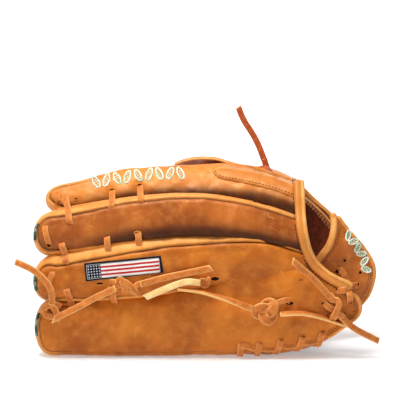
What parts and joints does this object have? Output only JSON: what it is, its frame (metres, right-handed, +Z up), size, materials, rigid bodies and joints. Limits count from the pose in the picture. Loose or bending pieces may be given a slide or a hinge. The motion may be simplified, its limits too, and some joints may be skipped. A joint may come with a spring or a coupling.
{
  "type": "baseball glove",
  "caption": "Left-hand fielder's glove of tan leather, half closed on its little-finger edge, with hollow finger stalls, ball pocket, laced web, wrist strap and loose lace ends.",
  "frame": {"origin": "on the ground under the middle of the glove's box, lace ends left out", "axes": "+X from the fingertips to the wrist, -Y the back of the hand, +Y the thumb side, +Z up from the little-finger edge to the index finger"},
  "size_m": [0.3155, 0.1399, 0.2157],
  "materials": {
    "shell": "pull-up tan steerhide, satin",
    "palm": "tan steerhide, satin",
    "lace": "reddish tan rawhide lace, satin",
    "lace_flesh": "pale flesh side of the lace, matt",
    "lining": "dark brown lining leather, matt",
    "binding": "rolled tan binding, satin",
    "felt": "wool felt, matt",
    "stiffener": "moulded insert, matt",
    "label": "woven label and sewing thread"
  },
  "bodies": {
    "root": {"index_stall": "shell", "middle_stall": "shell", "ring_stall": "shell", "little_stall": "shell", "finger_liners": "lining", "hand_back": "shell", "heel_panel": "shell", "palm_heel": "palm", "little_heel_pad": "felt", "thumb_heel_pad": "felt", "hand_lining": "lining", "palm_lining": "lining", "palm_leather": "palm", "palm_felt_pad": "felt", "crotch_guard": "palm", "index_pad": "shell", "label": "label", "finger_welts": "binding", "opening_binding": "binding", "little_stiffener": "stiffener", "little_finger_loop": "shell", "finger_lace": "lace", "heel_lace": "lace", "ring_knot": "lace", "pale_knot": "lace_flesh", "heel_knot": "lace", "wrist_knot": "lace", "little_tip_knot": "lace", "tip_tail": "lace", "ring_tail_left": "lace", "ring_tail_right": "lace", "pale_tail": "lace_flesh", "heel_tail_left": "lace", "heel_tail_right": "lace", "wrist_tail_up": "lace", "wrist_tail_down": "lace", "top_tail": "lace"},
    "strap": {"wrist_strap": "shell", "strap_lining": "felt", "strap_binding": "binding", "wrist_lace": "lace"},
    "web": {"web_top_bar": "shell", "web_base_bar": "shell", "web_posts": "shell", "web_lace": "lace"},
    "thumb": {"thumb_stall": "shell", "thumb_liner": "lining", "thumb_palm_leather": "palm", "thumb_stiffener": "stiffener", "thumb_loop": "shell", "thumb_lace": "lace"}
  },
  "joints": [
    {"name": "close", "type": "hinge", "parent": "root", "child": "web", "pos_m": [-0.04, -0.015, 0.153], "axis": [1, 0, 0], "range_deg": [-14, 40]},
    {"name": "thumb_fold", "type": "hinge", "parent": "web", "child": "thumb", "pos_m": [-0.04, 0.046, 0.076], "axis": [1, 0, 0], "range_deg": [-17, 6.5]},
    {"name": "strap_ease", "type": "hinge", "parent": "root", "child": "strap", "pos_m": [0.125, -0.038, 0.05], "axis": [1, 0, 0], "range_deg": [0, 6]}
  ],
  "couplings": [
    {"joint": "thumb_fold", "follows": "close", "ratio": -0.4}
  ]
}
